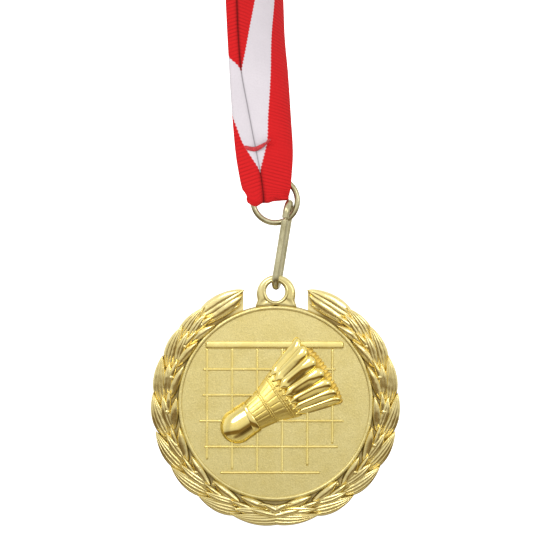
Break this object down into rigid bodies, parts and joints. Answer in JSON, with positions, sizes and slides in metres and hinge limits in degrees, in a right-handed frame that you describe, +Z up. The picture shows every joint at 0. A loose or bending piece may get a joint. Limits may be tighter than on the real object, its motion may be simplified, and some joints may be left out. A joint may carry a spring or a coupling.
{
  "type": "medal on neck ribbon",
  "caption": "Cast wreath medal with a shuttlecock and net in relief, hanging by a wire link and ring from the folded V end of a striped neck ribbon.",
  "frame": {"origin": "the point inside the ribbon's upper loop where it bears on what carries it", "axes": "+Z up, along the ribbon; the medal's face looks towards -Y"},
  "size_m": [0.0636, 0.022, 0.1518],
  "materials": {
    "gold": "gold plated, polished relief on a sanded field",
    "wire": "satin, dull greenish plating",
    "ribbon": "ribbed grosgrain, red with a white middle stripe",
    "thread": "polyester sewing thread"
  },
  "bodies": {
    "neck_ribbon": {"ribbon_hanging_loop": "ribbon", "ribbon_strand_left": "ribbon", "ribbon_strand_right": "ribbon", "mitre_seam_thread": "thread"},
    "folded_tip": {"ribbon_tip": "ribbon", "bar_tack_thread": "thread"},
    "ring": {"ribbon_ring": "wire"},
    "link": {"connecting_link": "wire"},
    "medal": {"medal_casting": "gold"}
  },
  "joints": [
    {"name": "ribbon_bend", "type": "hinge", "parent": "neck_ribbon", "child": "folded_tip", "pos_m": [0.0027, -0.0074, -0.0529], "axis": [1, 0, 0], "range_deg": [-40, 40]},
    {"name": "ring_turn", "type": "hinge", "parent": "folded_tip", "child": "ring", "pos_m": [0.0056, -0.005, -0.0678], "axis": [0, 1, 0], "range_deg": [0, 90]},
    {"name": "link_swing", "type": "hinge", "parent": "ring", "child": "link", "pos_m": [0.0093, -0.005, -0.06845], "axis": [0, 1, 0], "range_deg": [-110, 5]},
    {"name": "medal_swing", "type": "hinge", "parent": "link", "child": "medal", "pos_m": [0.0058, -0.005, -0.0901], "axis": [0, 1, 0], "range_deg": [-45, 30]}
  ]
}
